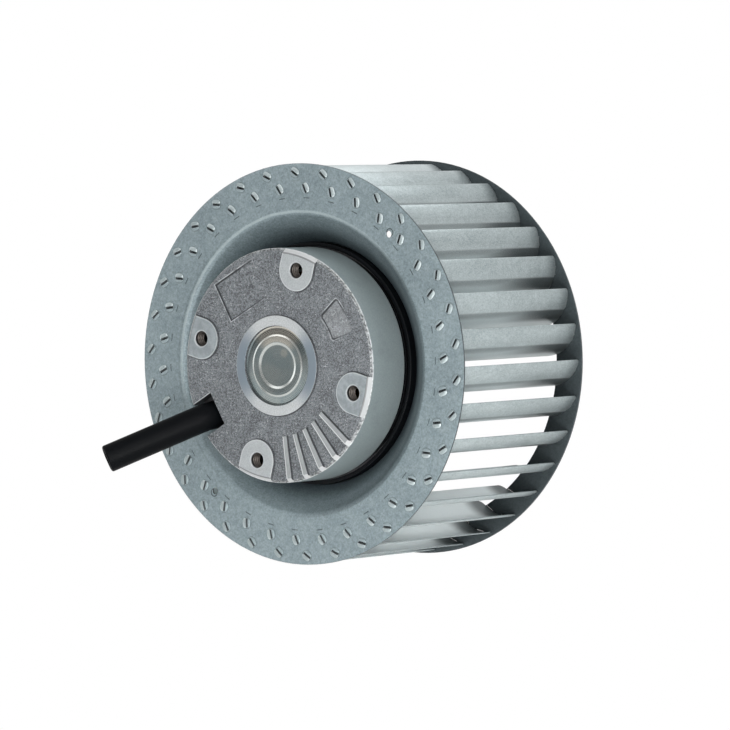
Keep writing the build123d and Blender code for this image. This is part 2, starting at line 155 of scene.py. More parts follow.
# Name, place, aim, size and power of each light
LIGHTS = (("key_light", (-1.3, -1.45, 1.35), (0, 0.03, 0), 1.2, 7),
          ("front_light", (0.9, -1.9, 1.0), (0, 0.03, 0), 0.9, 11),
          ("side_light", (1.5, -1.1, 0.3), (0, 0.05, 0), 0.9, 12),
          ("top_light", (0.6, 0.5, 1.7), (0, 0.06, 0), 1.1, 19),
          ("low_light", (0.28, -0.42, -0.22), (0.03, 0.02, -0.02), 0.3, 3.0))


# Socket kinds of a group: inputs by how many numbers they hold, outputs by type
INPUT_KINDS = {1: "NodeSocketFloat", 3: "NodeSocketVector", 4: "NodeSocketColor"}
OUTPUT_KINDS = {"VALUE": "NodeSocketFloat", "VECTOR": "NodeSocketVector",
                "RGBA": "NodeSocketColor"}


class Value:
    """Output of a shader node, used in sums like a plain number."""

    def __init__(self, socket):
        self.socket = socket
        self.tree = socket.id_data

    def __abs__(self):
        return calc("ABSOLUTE", self)

    def __neg__(self):
        return calc("MULTIPLY", self, -1.0)

    def __add__(self, other):
        return calc("ADD", self, other)

    def __sub__(self, other):
        return calc("SUBTRACT", self, other)

    def __rsub__(self, other):
        return calc("SUBTRACT", other, self)

    def __mul__(self, other):
        return calc("MULTIPLY", self, other)

    def __truediv__(self, other):
        return calc("DIVIDE", self, other)

    __radd__ = __add__
    __rmul__ = __mul__


def fill_inputs(node, inputs):
    """Set the inputs of a node to plain values, or link them to outputs of other nodes."""
    for name, value in inputs.items():
        if isinstance(value, Value):
            value.tree.links.new(value.socket, node.inputs[name])
        else:
            node.inputs[name].default_value = value


def new_node(tree, kind, inputs=None, **settings):
    """Shader node with its inputs and settings."""
    made = tree.nodes.new(kind)
    for name, value in settings.items():
        setattr(made, name, value)
    fill_inputs(made, inputs or {})
    return made


def output(tree, kind, inputs=None, pick=0, **settings):
    """One output of a new shader node."""
    return Value(new_node(tree, kind, inputs, **settings).outputs[pick])


def calc(operation, *values):
    """Result of one sum on numbers, at least one of them an output."""
    tree = next(value.tree for value in values if isinstance(value, Value))
    return output(tree, "ShaderNodeMath", dict(enumerate(values)), operation=operation)


def larger(*values):
    return reduce(lambda first, second: calc("MAXIMUM", first, second), values)


def smaller(*values):
    return reduce(lambda first, second: calc("MINIMUM", first, second), values)


def cosine(angle):
    return calc("COSINE", angle)


def vector_calc(operation, *vectors):
    """Result of one sum on vectors: a number for a length or a dot product, else a vector."""
    pick = "Value" if operation in ("LENGTH", "DOT_PRODUCT") else "Vector"
    return output(vectors[0].tree, "ShaderNodeVectorMath", dict(enumerate(vectors)), pick,
                  operation=operation)


def joined(x, y, z=0.0):
    return output(x.tree, "ShaderNodeCombineXYZ", {0: x, 1: y, 2: z})


def parts_of(vector):
    made = new_node(vector.tree, "ShaderNodeSeparateXYZ", {0: vector})
    return [Value(socket) for socket in made.outputs]


def length_of(first, second):
    """Length of a flat vector given by its two parts."""
    return vector_calc("LENGTH", joined(first, second))


def between(value, low, high, low_result=0.0, high_result=1.0):
    """Value mapped smoothly from one range to another and held at its ends."""
    return output(value.tree, "ShaderNodeMapRange",
                  {"Value": value, "From Min": low, "From Max": high,
                   "To Min": low_result, "To Max": high_result}, "Result",
                  interpolation_type="SMOOTHSTEP")


def band(value, low, high, soft=0.06 * MM):
    """Mask that is 1 while a value lies between two limits."""
    return between(value, low - soft, low + soft) * between(value, high + soft, high - soft)


def noise(place, scale, detail=3.0, rough=0.6):
    return output(place.tree, "ShaderNodeTexNoise",
                  {"Vector": place, "Scale": scale, "Detail": detail, "Roughness": rough}, "Fac")


def blend(share, first, second):
    """Colour between two others, each an output or red, green and blue."""
    first, second = [tone if isinstance(tone, Value) else (*tone, 1) for tone in (first, second)]
    return output(share.tree, "ShaderNodeMix", {0: share, 6: first, 7: second}, 2,
                  data_type="RGBA")


def tint(colour, tone, mask, strength=None):
    """Colour shifted towards a tone where a mask is on."""
    return blend(mask if strength is None else mask * strength, colour, tone)


def object_place(tree):
    return output(tree, "ShaderNodeTexCoord", pick="Object")


def make_group(name, build, **inputs):
    """Node group with inputs by name and default; its build function gives the outputs."""
    tree = bpy.data.node_groups.new(name, "ShaderNodeTree")
    for socket, default in inputs.items():
        kind = INPUT_KINDS[len(default) if isinstance(default, tuple) else 1]
        tree.interface.new_socket(socket, in_out="INPUT", socket_type=kind).default_value = default
    given = tree.nodes.new("NodeGroupInput").outputs
    results = build(tree, *[Value(given[socket]) for socket in inputs])
    for socket, value in results.items():
        tree.interface.new_socket(socket, in_out="OUTPUT",
                                  socket_type=OUTPUT_KINDS[value.socket.type])
    fill_inputs(tree.nodes.new("NodeGroupOutput"), results)


def use_group(tree, name, inputs=None):
    """Outputs of a node group, by their names in small letters."""
    made = new_node(tree, "ShaderNodeGroup", node_tree=bpy.data.node_groups[name])
    fill_inputs(made, inputs or {})
    return SimpleNamespace(**{socket.name.lower(): Value(socket) for socket in made.outputs})


def axis_place(tree):
    """Radius, angle and depth about the spin axis, the way outwards and the surface's own."""
    place = object_place(tree)
    x, depth, z = parts_of(place)
    surface = new_node(tree, "ShaderNodeNewGeometry").outputs
    across = vector_calc("MULTIPLY", Value(surface["Position"]), (1, 0, 1))
    return {"Radius": vector_calc("LENGTH", joined(x, 0.0, z)), "Angle": calc("ARCTAN2", z, x),
            "Depth": depth, "Place": place, "Outward": vector_calc("NORMALIZE", across),
            "Surface": Value(surface["Normal"])}


def soft_edge(tree, width):
    """Rounded-over normal at sharp edges, and a mask of those edges."""
    rounded = output(tree, "ShaderNodeBevel", {"Radius": width}, samples=6)
    straight = output(tree, "ShaderNodeNewGeometry", pick="Normal")
    facing = vector_calc("DOT_PRODUCT", rounded, straight)
    return {"Normal": rounded, "Edge": between(facing, 0.985, 0.8)}


def zinc_grain(tree, place, light, dark, speckle, cloudiness, roughness):
    """Fine mottled grain of galvanised sheet: tone, roughness and height."""
    fine = noise(place, 1250.0, 3.0, 0.75)
    spangle = output(tree, "ShaderNodeTexVoronoi", {"Vector": place, "Scale": 620.0}, "Color")
    facet = output(tree, "ShaderNodeSeparateColor", {0: spangle})
    patch = noise(place, 130.0, 4.0, 0.65)
    wide = noise(place, 22.0, 2.0, 0.5)
    speck = (fine - 0.5) * 3.4 + (facet - 0.5) * 0.35
    cloud = (patch - 0.5) + (wide - 0.5) * 0.8
    share = 0.5 + speck * speckle + cloud * cloudiness
    held = output(tree, "ShaderNodeClamp", {0: share})
    return {"Colour": blend(held, dark, light), "Roughness": roughness + cloud * 0.18,
            "Height": speck}


def turned_lines(_, radius, spacing):
    """Fine uneven rings about the spin axis, as turning leaves them."""
    return {"Line": noise(joined(radius / spacing, 0.0), 1.0, 2.0, 0.7)}


def turned_sheen(tree, normal, tilt, spacing):
    """Normal tilted in and out by fine turned rings about the spin axis."""
    x, _, z = parts_of(output(tree, "ShaderNodeNewGeometry", pick="Position"))
    flat = joined(x, 0.0, z)
    wave = turned_lines(tree, vector_calc("LENGTH", flat), spacing)["Line"] - 0.5
    aside = output(tree, "ShaderNodeVectorMath",
                   {0: vector_calc("NORMALIZE", flat), "Scale": wave * 3.0 * tilt},
                   operation="SCALE")
    return {"Normal": vector_calc("NORMALIZE", vector_calc("ADD", normal, aside))}


def make_groups():
    make_group("axis_place", axis_place)
    make_group("soft_edge", soft_edge, Width=EDGE_WIDTH)
    make_group("zinc_grain", zinc_grain, Place=(0, 0, 0), Light=(1, 1, 1, 1), Dark=(0, 0, 0, 1),
               Speckle=0.5, Cloud=0.5, Roughness=0.45)
    make_group("turned_lines", turned_lines, Radius=0.0, Spacing=0.4 * MM)
    make_group("turned_sheen", turned_sheen, Normal=(0, 0, 0), Tilt=0.3, Spacing=0.15 * MM)


def new_material(name, **plain):
    """Material with one Principled shader, whose plain numbers are set on its own sockets."""
    material = bpy.data.materials.new(name)
    material.use_nodes = True
    fill_inputs(material.node_tree.nodes["Principled BSDF"],
                {socket.replace("_", " "): value for socket, value in plain.items()})
    return material, material.node_tree


def dress(material, colour, roughness, height, depth, edge=None):
    """Link the colour, roughness and relief of a surface to its shader."""
    relief = {"Height": height, "Distance": depth}
    if edge is not None:
        relief["Normal"] = edge
    bump = output(colour.tree, "ShaderNodeBump", relief)
    fill_inputs(material.node_tree.nodes["Principled BSDF"],
                {"Base Color": colour, "Roughness": roughness, "Normal": bump})
    return material


def out_and_aside(spot, angle):
    """Distances out along a line from the axis and beside it, at an angle from that line."""
    return spot.radius * cosine(angle), spot.radius * calc("SINE", angle)


def press_marks(spot):
    """Short dash left by the press inside each inner lug."""
    turned = spot.angle - radians(MARK_ANGLE)
    along = calc("PINGPONG", turned, pi / BLADE_COUNT) * (75 * MM)
    rag = noise(spot.place, 900.0, 2.0) * (0.35 * MM)
    across = abs(spot.radius - MARK_RADIUS) + rag
    return between(along, *mm(1.9, 1.4)) * between(across, *mm(0.52, 0.26))


def lug_distances(spot):
    """Distance outside the nearest pressed lug, and outside its open slit, along the axis."""
    lugs, slits = [], []
    for radius in TAB_RADII:
        place, inward, convex = tab_place(radius)
        start = atan2(place.y, place.x) + radians(BLADE_PHASE)
        turned = calc("WRAP", spot.angle - start, pi / BLADE_COUNT, -pi / BLADE_COUNT)
        out, aside = out_and_aside(spot, turned)
        out = out - place.length
        radial = place.normalized()
        tangent = Vector((-radial.y, radial.x))
        along, across = [out * aim.dot(radial) + aside * aim.dot(tangent)
                         for aim in (inward, convex)]
        shifted = (across + LUG_SHIFT) / LUG_HALF[0]
        lugs.append((length_of(along / LUG_HALF[1], shifted) - 1.0) * LUG_SIZE)
        slits.append(larger(abs(across + SLIT_MIDDLE) - SLIT_HALF[0], abs(along) - SLIT_HALF[1]))
    return smaller(*lugs), smaller(*slits)


def balance_distance(spot):
    """Distance outside the nearer of the two balance holes, seen along the axis."""
    turned = calc("WRAP", spot.angle - radians(BALANCE_ANGLE), pi / 2, -pi / 2)
    out, aside = out_and_aside(spot, turned)
    return length_of(out - BALANCE_RADIUS, aside) - BALANCE_HOLE


def mark_lugs(colour, spot):
    """Painted shadow line round each pressed lug, painted highlight on its raised face, painted
    shade in its slot and slit.
    """
    depth = spot.depth
    lug, slit = lug_distances(spot)
    # painted shadow: dark line round the lug
    colour = tint(colour, SHADOW_GREY, band(lug, 0.0, 0.3 * MM), 0.45)
    on_lug = between(lug, *mm(0.3, 0.1))
    raised = larger(between(depth, DISC_FRONT - 0.01 * MM, DISC_FRONT - 0.1 * MM),
                    between(depth, RING_BACK + 0.01 * MM, RING_BACK + 0.1 * MM))
    # painted highlight: lighter raised face of the lug
    colour = tint(colour, (0.42, 0.48, 0.49), raised * on_lug, 0.22)
    # painted shade: black inside the slot and along the open slit
    slot = larger(band(depth, DISC_FRONT + 0.08 * MM, DISC_BACK - 0.08 * MM),
                  band(depth, RING_FRONT + 0.08 * MM, RING_BACK - 0.08 * MM))
    slot = larger(slot * on_lug, between(slit, *mm(0.05, -0.05)))
    return tint(colour, SHADE_BLACK, slot, 0.96)


def shade_centre(colour, spot, edge):
    """Painted highlight on the bend round the drawn centre and on the outer rim's edges, and
    painted shade beside the bend, on the wall turned from the light and down the cone.
    """
    radius, depth, angle = spot.radius, spot.depth, spot.angle
    rag = noise(spot.place, 240.0) * (0.8 * MM)
    # painted highlight along the bend, strongest on its upper left
    bend = band(radius + (rag - 0.4 * MM), *BEND_RADII, 0.3 * MM) * between(depth, *mm(20.8, 19.6))
    lit = between(cosine(angle - 2.0), -0.1, 0.5, 0.0, 0.4)
    colour = tint(colour, (0.46, 0.53, 0.54), bend * lit)
    # painted highlight on the edges at the outer rim
    rim_edge_highlight = edge * between(radius, *mm(89, 88))
    colour = tint(colour, (0.5, 0.57, 0.58), rim_edge_highlight, 0.4)
    # painted shade: dark band beside the bend on its left side
    dip_shade = band(radius, *mm(69.4, 70.3, 0.3)) * between(cosine(angle), -0.5, -0.8, 0.0, 0.2)
    colour = tint(colour, SHADOW_GREY, dip_shade)
    # painted shade on the wall turned from the light, on the right
    away = (between(cosine(angle + 0.25), 0.0, 0.7, 0.0, 0.34)
            * between(radius, *mm(69.2, 68.5)) * between(depth, *mm(24, 20)))
    colour = tint(colour, (0.018, 0.027, 0.032), away)
    # painted shade darkening down the cone towards the motor
    deep_shade = between(depth, *mm(20, 31.5), 0.0, 0.76) * between(depth, *mm(60, 50))
    return tint(colour, (0.013, 0.026, 0.035), deep_shade)


def mark_balance_holes(colour, spot):
    """Dark ring round each balance hole, and painted shade on its wall."""
    hole = balance_distance(spot)
    colour = tint(colour, (0.026, 0.033, 0.036), band(hole, *mm(-0.1, 0.4)), 0.8)
    # painted shade: black on the wall of the hole
    wall = (between(hole, 0.05 * MM, 0.0)
            * between(spot.depth, DISC_FRONT + 0.02 * MM, DISC_FRONT + 0.1 * MM))
    return tint(colour, SHADE_BLACK, wall)


def darken_rims(colour, spot):
    """Front of the inlet ring in shade, and the dark cut edges of both discs."""
    radius, depth = spot.radius, spot.depth
    shaded = (between(depth, *mm(100, 101))
              * between(depth, RING_FRONT + 0.1 * MM, RING_FRONT + 0.02 * MM))
    colour = tint(colour, (0.022, 0.027, 0.029), shaded, 0.81)
    kept = between(depth, WHEEL_MIDDLE, WHEEL_MIDDLE + MM) * between(radius, *mm(90.57, 90.5))
    cut = between(radius, *mm(89.9, 89.97)) * (1.0 - kept)
    return tint(colour, (0.05, 0.06, 0.064), cut, 0.85)


def galvanised_disc():
    """Sheet of the backplate and the inlet ring, with the marks of its making and painted
    highlights and shade.
    """
    material, tree = new_material("galvanised_disc", Metallic=0.55)
    spot = use_group(tree, "axis_place")
    edge = use_group(tree, "soft_edge")
    zinc = use_group(tree, "zinc_grain", {
        "Place": spot.place, "Light": (0.272, 0.332, 0.352, 1),
        "Dark": (0.156, 0.2, 0.217, 1), "Speckle": 0.8, "Cloud": 0.52, "Roughness": 0.47})
    colour = tint(zinc.colour, (0.055, 0.07, 0.075), press_marks(spot), 0.9)
    colour = mark_lugs(colour, spot)
    colour = shade_centre(colour, spot, edge.edge)
    colour = mark_balance_holes(colour, spot)
    colour = darken_rims(colour, spot)
    return dress(material, colour, zinc.roughness, zinc.height, ZINC_RELIEF, edge.normal)


def shade_blade(colour, spot):
    """Painted light across each blade's arc and on the top blades, and painted shade towards its
    ends and low on its face.
    """
    depth, radius = spot.depth, spot.radius
    facing = vector_calc("DOT_PRODUCT", spot.outward, spot.surface)
    convex, hollow_side = between(facing, -0.05, 0.25), between(facing, 0.0, -0.3)
    # painted light on the concave inner faces
    colour = tint(colour, BLADE_LIT, hollow_side, 0.8)
    # painted light on the outer part of the convex face
    lift = between(radius, *mm(87, 81), 0.0, 0.7) * convex
    colour = tint(colour, BLADE_LIT, lift)
    # painted light on the blades at the top of the wheel
    upward = parts_of(spot.outward)[2]
    top_blade_light = between(upward, 0.94, 0.995, 0.0, 0.36) * convex
    colour = tint(colour, (0.86, 0.92, 0.93), top_blade_light)
    # painted shade at the far end of the inner faces
    far_end_shade = hollow_side * between(depth, *mm(91, 102), 0.0, 0.85)
    colour = tint(colour, (0.05, 0.062, 0.066), far_end_shade)
    # painted shade low on the convex face, towards the inlet ring and at its corners
    crease = between(radius, *mm(84.9, 84.2))
    hollow_shade = crease * between(radius, *mm(81.4, 83.8), 0.0, 0.44)
    near_ring_shade = between(depth, *mm(52, 98), 0.0, 0.86) * between(radius, *mm(78.4, 81), 0.3, 1.0)
    corner = between(depth, *mm(99, 107.5)) * 0.38
    shade = larger(larger(hollow_shade, near_ring_shade * crease) * convex, corner)
    return tint(colour, (0.06, 0.074, 0.078), shade)


def mark_tabs(colour, depth):
    """Greyer folded tabs, and painted shade in the gap where they leave their slots and round the
    foot of each dome.
    """
    folded = larger(between(depth, DISC_FRONT + 0.05 * MM, DISC_FRONT),
                    between(depth, RING_BACK - 0.05 * MM, RING_BACK))
    colour = tint(colour, (0.27, 0.32, 0.33), folded, 0.62)
    # painted shade in the slot round the tab and along the lowest rim of its dome
    neck_shade = larger(band(depth, DISC_FRONT - 0.13 * MM, DISC_BACK - 0.04 * MM, 0.02 * MM),
                  band(depth, RING_FRONT + 0.04 * MM, RING_BACK + 0.13 * MM, 0.02 * MM))
    return tint(colour, (0.014, 0.017, 0.018), neck_shade, 0.8)


def galvanised_blade():
    """Sheet of the blades, painted lighter than the discs' sheet for the light on them, its grain
    drawn out along them.
    """
    material, tree = new_material("galvanised_blade", Metallic=0.55)
    own = output(tree, "ShaderNodeObjectInfo", pick="Random")
    moved = vector_calc("ADD", object_place(tree), joined(own, own))
    drawn = output(tree, "ShaderNodeMapping", {"Vector": moved, "Scale": (1.4, 0.85, 1.4)})
    # painted light: lighter tones than the discs' sheet
    zinc = use_group(tree, "zinc_grain", {
        "Place": drawn, "Light": (0.46, 0.517, 0.526, 1), "Dark": (0.275, 0.323, 0.332, 1),
        "Speckle": 0.72, "Cloud": 0.85, "Roughness": 0.44})
    spot = use_group(tree, "axis_place")
    colour = shade_blade(zinc.colour, spot)
    colour = mark_tabs(colour, spot.depth)
    return dress(material, colour, zinc.roughness, zinc.height, ZINC_RELIEF)


def pad_distances(spot):
    """Distance outside the nearest pad's outline, and from the middle of its screw hole."""
    turned = calc("PINGPONG", spot.angle - radians(BOLT_ANGLE), pi / 4)
    along, across = out_and_aside(spot, turned)
    beyond = along - BOLT_RADIUS
    outline = length_of(smaller(beyond, 0.0), across) - PAD_HALF_WIDTH
    return outline, length_of(beyond, across)


def rib_distances(spot):
    """Distances outside the two sides of the nearest rib, large away from the ribs."""
    turned = spot.angle - radians(RIB_MIDDLE_ANGLE)
    nearest = calc("WRAP", turned, radians(RIB_STEP / 2), radians(-RIB_STEP / 2))
    across = spot.radius * calc("SINE", nearest)
    half = between(spot.radius, RIB_START + 0.3 * MM, FLANGE_RADIUS, *RIB_HALF)
    away = between(abs(turned), radians(RIBS_HALF_ANGLE), radians(RIBS_HALF_ANGLE + 0.2), 0.0,
                   FAR_FROM_RIBS)
    inside = between(spot.radius, RIB_START, RIB_START - 0.2 * MM, 0.0, FAR_FROM_RIBS)
    gone = away + inside - half
    return across + gone, gone - across


def recess_distances(spot):
    """Distances outside the oblong recess and the one between two arcs, and how strongly the
    painted lines of each show.
    """
    x, _, z = parts_of(spot.place)
    right, up = x - FIELD_MIDDLE[0], z - FIELD_MIDDLE[1]
    along = right * cos(FIELD_TILT) + up * sin(FIELD_TILT)
    across = up * cos(FIELD_TILT) - right * sin(FIELD_TILT)
    field = larger(abs(along) - FIELD_HALF[0], abs(across) - FIELD_HALF[1])
    (inner, outer), (start, end) = POCKET_RADII, [radians(angle) for angle in POCKET_ANGLES]
    swing = abs(spot.angle - (start + end) / 2) - (end - start) / 2
    beside = swing * spot.radius + POCKET_CORNER
    beyond = abs(spot.radius - (inner + outer) / 2) - (outer - inner) / 2 + POCKET_CORNER
    outside = length_of(larger(beside, 0.0), larger(beyond, 0.0))
    pocket = outside + smaller(larger(beside, beyond), 0.0) - POCKET_CORNER
    fade = larger(between(spot.angle, radians(26), radians(41)), between(spot.radius, *mm(40, 33)))
    return field, pocket, between(along, *mm(11, 2), 0.3, 1.0), fade


def notch_distances(spot):
    """Distances outside the notch for the cable, above its upper side and along it."""
    x, _, z = parts_of(spot.place)
    along = x * cos(NOTCH_ANGLE) + z * sin(NOTCH_ANGLE) - NOTCH_RADIUS
    across = x * sin(NOTCH_ANGLE) - z * cos(NOTCH_ANGLE)
    return larger(-along, abs(across) - NOTCH_HALF), across - NOTCH_HALF, along


def cast_skin(place):
    """Tone and relief of the rough die-cast skin, with bright flecks, pits and scratches."""
    tone = (noise(place, 2300.0, 2.0, 0.8) * 0.46
            + (noise(place, 1050.0, 2.0, 0.7) * 0.36 + noise(place, 190.0, 4.0, 0.65) * 0.18))
    colour = blend(between(tone, 0.38, 0.62), (0.048, 0.052, 0.057), (0.208, 0.225, 0.24))
    clump = between(noise(place, 330.0, 2.0), 0.42, 0.62)
    flecks = between(noise(place, 1700.0, 2.0), 0.56, 0.68)
    colour = tint(colour, (0.5, 0.53, 0.54), flecks * clump, 0.55)
    pits = between(noise(place, 1250.0, 2.0), 0.4, 0.3)
    colour = tint(colour, (0.034, 0.037, 0.041), pits, 0.5)
    for turn in (35.0, 118.0):
        drawn = output(place.tree, "ShaderNodeMapping",
                       {"Vector": place, "Rotation": (0, radians(turn), 0),
                        "Scale": (210.0, 210.0, 2400.0)})
        scratch = between(noise(drawn, 1.0, 1.0), 0.7, 0.78)
        colour = tint(colour, (0.5, 0.51, 0.52), scratch, 0.42)
    return colour, tone


def flange_places(spot):
    """Distances from the flange's forms and masks of its faces, beside the spot's own values."""
    radius, depth = spot.radius, spot.depth
    pad, hole = pad_distances(spot)
    rib_right, rib_left = rib_distances(spot)
    sideways = abs(cosine(spot.angle))
    machined = between(depth, *mm(0.12, 0.05))
    return SimpleNamespace(
        **vars(spot), pad=pad, hole=hole, rib=larger(rib_right, rib_left), rib_right=rib_right,
        rib_left=rib_left, sideways=sideways, machined=machined,
        boss=between(radius, BOSS_RADIUS, BOSS_RADIUS - 0.2 * MM) * machined,
        # painted reflection: share of grey tone on the pads towards the left and right
        greyer=between(sideways, 0.5, 0.9, 0.36, 0.92) * between(radius, *mm(30, 31)),
        side=between(depth, *mm(2, 2.12)) * between(radius, *mm(52.1, 52.3)))


def shade_recesses(colour, at):
    """Paler floor of one recess, and painted highlights on the brinks and painted shadow at the
    feet of both.
    """
    field, pocket, field_share, pocket_share = recess_distances(at)
    colour = tint(colour, CAST_PALE, between(pocket, 0.0, -0.3 * MM), 0.16)
    on_face = between(at.depth, *mm(2, 1.7))
    # painted highlight on the brinks and painted shadow at the feet, stronger on some sides
    lip, foot = [larger(field_share * band(field, *limits), pocket_share * band(pocket, *limits))
                 for limits in (mm(0.15, 0.55), mm(-0.55, 0.08))]
    broken = between(noise(at.place, 190.0), 0.34, 0.58)
    colour = tint(colour, CAST_PALE, lip * on_face * (broken * 0.62))
    return tint(colour, CAST_SHADOW, foot * on_face, 0.85)


def shade_ribs(colour, at):
    """Painted shadow at the feet of the ribs, the pads and the boss, the brushed tops of the ribs
    and painted highlights along their left edges.
    """
    # painted shadow at the feet, wider on the right side of each rib
    beside = larger(band(at.rib_right, *mm(-0.05, 0.6)),
                    band(at.rib_left, 0.0, 0.25 * MM), band(at.pad, 0.0, 0.42 * MM),
                    band(at.radius, BOSS_RADIUS, BOSS_RADIUS + 0.35 * MM))
    beside = beside * band(at.depth, *mm(0.3, 1.6))
    colour = tint(colour, CAST_SHADOW, beside, 0.8)
    brushed = noise(joined(at.angle * 260.0, at.radius * 160.0), 1.0, 2.0)
    ribbed = blend(brushed, (0.12, 0.131, 0.136), (0.42, 0.44, 0.445))
    # painted highlight along the left edge of each rib top
    ribbed = tint(ribbed, (0.56, 0.58, 0.58), band(at.rib_left, *mm(-0.42, -0.08)))
    rib_top = between(at.depth, *mm(0.62, 0.4)) * between(at.rib, *mm(0.15, 0.05))
    return blend(rib_top, colour, ribbed)


def cut_faces(colour, at):
    """Machined faces of the pads and the boss, with painted grey, mottled reflections towards the
    sides.
    """
    grain = between(noise(at.place, 1500.0, 3.0, 0.8), 0.34, 0.66)
    cut = blend(grain, (0.36, 0.38, 0.385), (0.51, 0.53, 0.54))
    mottle = between(noise(at.place, 240.0, 4.0, 0.7), 0.36, 0.66)
    # painted reflection: pads turn grey and mottled at the sides
    cut = blend(at.greyer, cut, blend(mottle, (0.195, 0.224, 0.238), (0.285, 0.318, 0.335)))
    # painted reflection: darker left and right sides of the boss
    cut = tint(cut, (0.168, 0.205, 0.238), between(at.sideways, 0.5, 0.97) * at.boss)
    return blend(at.machined, colour, cut)


def shade_rim(colour, at):
    """Rim of the flange: its bevel, chipped between the pads, its skirt and painted highlights
    along its edges.
    """
    place, radius, depth = at.place, at.radius, at.depth
    fine = noise(place, 1400.0, 2.0)
    on_pad = between(at.pad, *mm(0.05, -0.05))
    chip = between(noise(place, 950.0, 3.0, 0.7), 0.38, 0.64)
    rough = blend(chip, (0.065, 0.07, 0.074), (0.33, 0.345, 0.35))
    rough = tint(rough, (0.45, 0.46, 0.465), between(at.rib, 0.2 * MM, 0.0))
    clean = blend(fine, (0.46, 0.47, 0.48), (0.6, 0.61, 0.61))
    # painted reflection: clean bevel of the pads duller at the sides
    clean = tint(clean, (0.27, 0.285, 0.29), at.greyer, 0.75)
    bevel = between(radius - depth, BEVEL_LINE, BEVEL_LINE + 0.06 * MM) * (1.0 - at.side)
    colour = blend(bevel, colour, blend(on_pad, rough, clean))
    inner_line = band(radius, *mm(50.2, 50.85)) * on_pad
    colour = tint(colour, (0.11, 0.115, 0.12), inner_line, 0.7)
    stain_and_reflection = between(noise(place, 60.0, 4.0, 0.65), 0.5, 0.72, 0.0, 0.2)
    smooth = blend(fine, (0.232, 0.274, 0.28), (0.34, 0.395, 0.401))
    colour = blend(at.side, colour, tint(smooth, (0.12, 0.14, 0.145), stain_and_reflection))
    # painted highlights along the rim, with more on the left
    outer_highlight = band(depth, *mm(1.8, 2.35)) * between(radius, *mm(52.1, 52.2))
    left_highlight = (band(depth, *mm(1.5, 2.35))
                 * between(cosine(at.angle - radians(222)), 0.7, 0.85)
                 * between(radius, *mm(51.7, 51.8)))
    broken = between(noise(place, 500.0, 2.0), 0.36, 0.56)
    return tint(colour, (0.68, 0.7, 0.71), larger(outer_highlight, left_highlight) * broken, 0.75)


def mark_holes(colour, at):
    """Painted highlights on the outlines of the pads and the holes' mouths, and painted shade in
    the bores.
    """
    hole, depth = at.hole, at.depth
    # painted highlight along the pad outlines
    pad_line = at.machined * band(at.pad, *mm(-0.5, -0.1))
    colour = tint(colour, (0.74, 0.76, 0.77), pad_line, 0.3)
    # painted highlight round the holes' mouths
    mouth = (band(hole, HOLE_RADIUS + 0.02 * MM, HOLE_RADIUS + 0.55 * MM)
             * between(depth, *mm(0.5, 0.4)))
    colour = tint(colour, (0.7, 0.72, 0.73), mouth, 0.36)
    # painted shade in the bores
    bored = (between(hole, HOLE_RADIUS + 0.15 * MM, HOLE_RADIUS + 0.05 * MM)
             * between(depth, *mm(0.36, 0.46)))
    return tint(colour, (0.016, 0.015, 0.0145), bored)


def shade_notch(colour, at):
    """Painted shadow inside the notch for the cable, and a painted highlight on the brink above
    it.
    """
    notch, above, along = notch_distances(at)
    # painted shadow inside the notch
    shadow = between(notch, *mm(0.06, 0.02)) * between(at.depth, *mm(1.05, 1.3))
    colour = tint(colour, (0.008, 0.009, 0.01), shadow, 0.94)
    # painted highlight on the brink above the notch
    brink = (band(above, *mm(0.05, 0.38)) * between(along, 0.0, 0.5 * MM)
             * between(at.depth, *mm(1.3, 1.1)))
    return tint(colour, (0.56, 0.58, 0.59), brink, 0.7)


def cast_flange():
    """Rough die casting with machined pads and boss, pale ribs and a smooth side, with painted
    shadows, highlights and reflections.
    """
    material, tree = new_material("cast_flange", Metallic=0.45)
    at = flange_places(use_group(tree, "axis_place"))
    edge = use_group(tree, "soft_edge")
    colour, tone = cast_skin(at.place)
    for step in (shade_recesses, shade_ribs, cut_faces, shade_rim, mark_holes, shade_notch):
        colour = step(colour, at)
    plain = larger(at.machined, at.side)
    sheen = use_group(tree, "turned_sheen", {"Normal": edge.normal, "Tilt": at.boss * 0.45})
    relief = tone * (1.0 - plain * 0.93)
    return dress(material, colour, between(plain, 0.0, 1.0, 0.56, 0.4), relief, 0.3 * MM,
                 sheen.normal)


def zinc_cap():
    """Bright zinc-plated pressing, with painted highlights on two rings, a warm painted reflection
    towards the top and a small painted reflection by the centre.
    """
    material, tree = new_material("zinc_cap", Metallic=1.0)
    spot = use_group(tree, "axis_place")
    place, radius = spot.place, spot.radius
    line = use_group(tree, "turned_lines", {"Radius": radius, "Spacing": 0.35 * MM}).line
    cloud = between(noise(place, 95.0), 0.38, 0.66)
    tone = blend(cloud, (0.255, 0.31, 0.318), (0.335, 0.375, 0.368))
    # painted reflection: warm tone on the outer part towards the top
    warm_reflection = between(calc("SINE", spot.angle), 0.55, 0.9) * between(radius, *mm(10.2, 11))
    tone = tint(tone, (0.8, 0.73, 0.62), warm_reflection, 0.65)
    # painted highlights on the two rings
    ring_highlight = larger(band(radius, *mm(9.2, 10.4, 0.2)), band(radius, *mm(13.15, 13.95, 0.2)))
    tone = tint(tone, (0.76, 0.77, 0.74), ring_highlight, 0.62)
    x, _, z = parts_of(place)
    # painted reflection: small pale patch beside the centre
    stain_and_reflection = length_of(x - 3.6 * MM, z - 5.6 * MM)
    tone = tint(tone, (0.62, 0.6, 0.52), between(stain_and_reflection, *mm(2.4, 1.2), 0.0, 0.4))
    tone = tint(tone, (0.28, 0.31, 0.31), noise(place, 1300.0, 2.0), 0.35)
    return dress(material, tone, between(line, 0.2, 0.8, 0.2, 0.32), line, 0.006 * MM)


